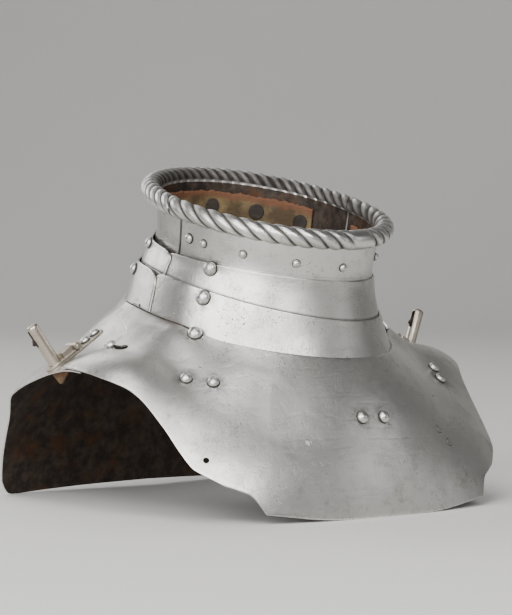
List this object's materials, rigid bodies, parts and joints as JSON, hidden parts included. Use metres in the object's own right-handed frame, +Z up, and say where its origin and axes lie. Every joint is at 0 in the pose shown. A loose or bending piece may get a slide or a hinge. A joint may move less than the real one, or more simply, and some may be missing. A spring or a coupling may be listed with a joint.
{
  "type": "steel gorget",
  "caption": "Hinged steel neck defence of overlapping lames on broad shoulder plates, with a roped rim and a sprung hinged peg on each shoulder.",
  "frame": {"origin": "middle of the footprint, on the surface that the gorget stands on", "axes": "+Z up, the front of the gorget faces -Y, the wearer's left shoulder is +X"},
  "size_m": [0.3386, 0.2674, 0.2224],
  "materials": {
    "steel": "worn bright polish with grey stains and fine pits",
    "peg_steel": "browned steel, lightly worn",
    "dark_iron": "dark spring iron",
    "leather": "dry old leather with a frayed edge"
  },
  "bodies": {
    "back_half": {"back_lame_2": "steel", "back_lame_3": "steel", "back_lame_rivet_1": "steel", "back_lame_rivet_2": "steel", "back_leather_lining": "leather", "back_main_plate": "steel", "back_top_lame": "steel", "closing_stud": "steel", "hinge_pin_left": "peg_steel", "hinge_pin_right": "peg_steel", "strip_left": "peg_steel", "strip_right": "peg_steel", "strip_rivet_left_1": "steel", "strip_rivet_left_2": "steel", "strip_rivet_right_1": "steel", "strip_rivet_right_2": "steel"},
    "front_half": {"flush_rivet_1": "steel", "flush_rivet_2": "steel", "front_lame_2": "steel", "front_lame_3": "steel", "front_leather_lining": "leather", "front_main_plate": "steel", "front_top_lame": "steel", "lame_rivet_right_1": "steel", "lame_rivet_right_2": "steel", "lame_rivet_right_3": "steel", "lining_rivet_front": "steel", "lining_rivet_front_left": "steel", "lining_rivet_front_right": "steel", "lining_rivet_left": "steel", "lining_rivet_right": "steel", "lining_rivet_right_rear": "steel", "pivot_rivet": "steel", "strap_rivet_centre_1": "steel", "strap_rivet_centre_2": "steel", "strap_rivet_left_1": "steel", "strap_rivet_left_2": "steel", "strap_rivet_right_1": "steel", "strap_rivet_right_2": "steel"},
    "peg_right": {"peg_leaf_right": "peg_steel", "catch_pin_right": "peg_steel"},
    "peg_left": {"peg_leaf_left": "peg_steel", "catch_pin_left": "peg_steel"},
    "catch_right": {"spring_catch_right": "dark_iron"},
    "catch_left": {"spring_catch_left": "dark_iron"}
  },
  "joints": [
    {"name": "shoulder_pivot", "type": "hinge", "parent": "back_half", "child": "front_half", "pos_m": [0.12571, 0.00003, 0.10218], "axis": [0.1506, 0.0737, 0.9858], "range_deg": [0, 0.5]},
    {"name": "peg_hinge_right", "type": "hinge", "parent": "back_half", "child": "peg_right", "pos_m": [-0.13555, 0.01845, 0.10655], "axis": [0.0992, 0.992, -0.0777], "range_deg": [0, 60]},
    {"name": "peg_hinge_left", "type": "hinge", "parent": "back_half", "child": "peg_left", "pos_m": [0.13767, 0.01837, 0.10375], "axis": [0.0991, -0.9914, 0.0859], "range_deg": [0, 60]},
    {"name": "catch_press_right", "type": "hinge", "parent": "peg_right", "child": "catch_right", "pos_m": [-0.16329, 0.02203, 0.11677], "axis": [-0.0992, -0.992, 0.0777], "range_deg": [0, 9], "stiffness_Nm_per_rad": 0.02, "springref_deg": -5.73},
    {"name": "catch_press_left", "type": "hinge", "parent": "peg_left", "child": "catch_left", "pos_m": [0.16358, 0.02219, 0.11794], "axis": [0.0991, -0.9914, 0.0859], "range_deg": [0, 9], "stiffness_Nm_per_rad": 0.02, "springref_deg": -5.73}
  ]
}
